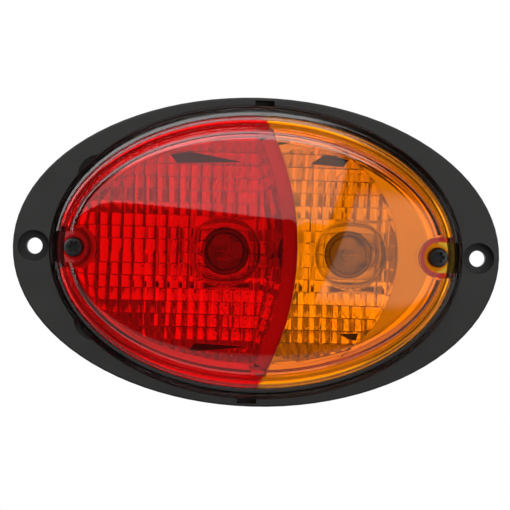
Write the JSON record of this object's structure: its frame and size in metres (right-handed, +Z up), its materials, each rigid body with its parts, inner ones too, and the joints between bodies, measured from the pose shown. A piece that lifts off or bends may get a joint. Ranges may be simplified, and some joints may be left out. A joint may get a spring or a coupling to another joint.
{
  "type": "tail light cluster",
  "caption": "Oval two-colour rear lamp: black flanged housing, red and amber domed lens over fluted reflector dishes, bayonet bulbs and sealed rear cup.",
  "frame": {"origin": "midway between the two mounting holes, on the plane of the flange's back face", "axes": "+X to the right seen from the front, along the long axis; +Y out of the back, towards the body panel; +Z up; the lens faces -Y"},
  "size_m": [0.17, 0.0749, 0.108],
  "materials": {
    "housing_abs": "fine moulded grain",
    "gasket_foam": "matte",
    "seal_rubber": "matte",
    "lens_red_pmma": "clear red, polished",
    "lens_amber_pmma": "clear amber, polished",
    "reflector_metallised": "vacuum metallised",
    "screw_black": "black, satin",
    "plated_steel": "zinc plated",
    "phenolic_board": "matte",
    "contact_brass": "satin",
    "cap_glass": "black, glossy",
    "cap_brass": "satin",
    "bulb_glass": "clear",
    "tungsten": "satin"
  },
  "bodies": {
    "root": {"base_housing": "housing_abs", "mounting_gasket": "gasket_foam", "lens_seal": "seal_rubber", "lens_red": "lens_red_pmma", "lens_amber": "lens_amber_pmma", "reflector": "reflector_metallised", "lens_screws": "screw_black", "socket_bracket": "plated_steel", "bracket_screws": "plated_steel", "cable_grommet": "seal_rubber", "tail_socket": "plated_steel", "tail_socket_base": "phenolic_board", "tail_contact_spring": "plated_steel", "tail_contact_disc": "phenolic_board", "tail_bulb_insulator": "cap_glass", "tail_bulb_cap": "cap_brass", "tail_bulb_glass": "bulb_glass", "indicator_socket": "plated_steel", "indicator_socket_base": "phenolic_board", "indicator_contact_spring": "plated_steel", "indicator_contact_disc": "phenolic_board", "indicator_bulb_insulator": "cap_glass", "indicator_bulb_cap": "cap_brass", "indicator_bulb_glass": "bulb_glass", "tail_contact_studs": "contact_brass", "indicator_contact_stud": "contact_brass", "tail_bulb_filaments": "tungsten", "indicator_bulb_filament": "tungsten"}
  },
  "joints": []
}
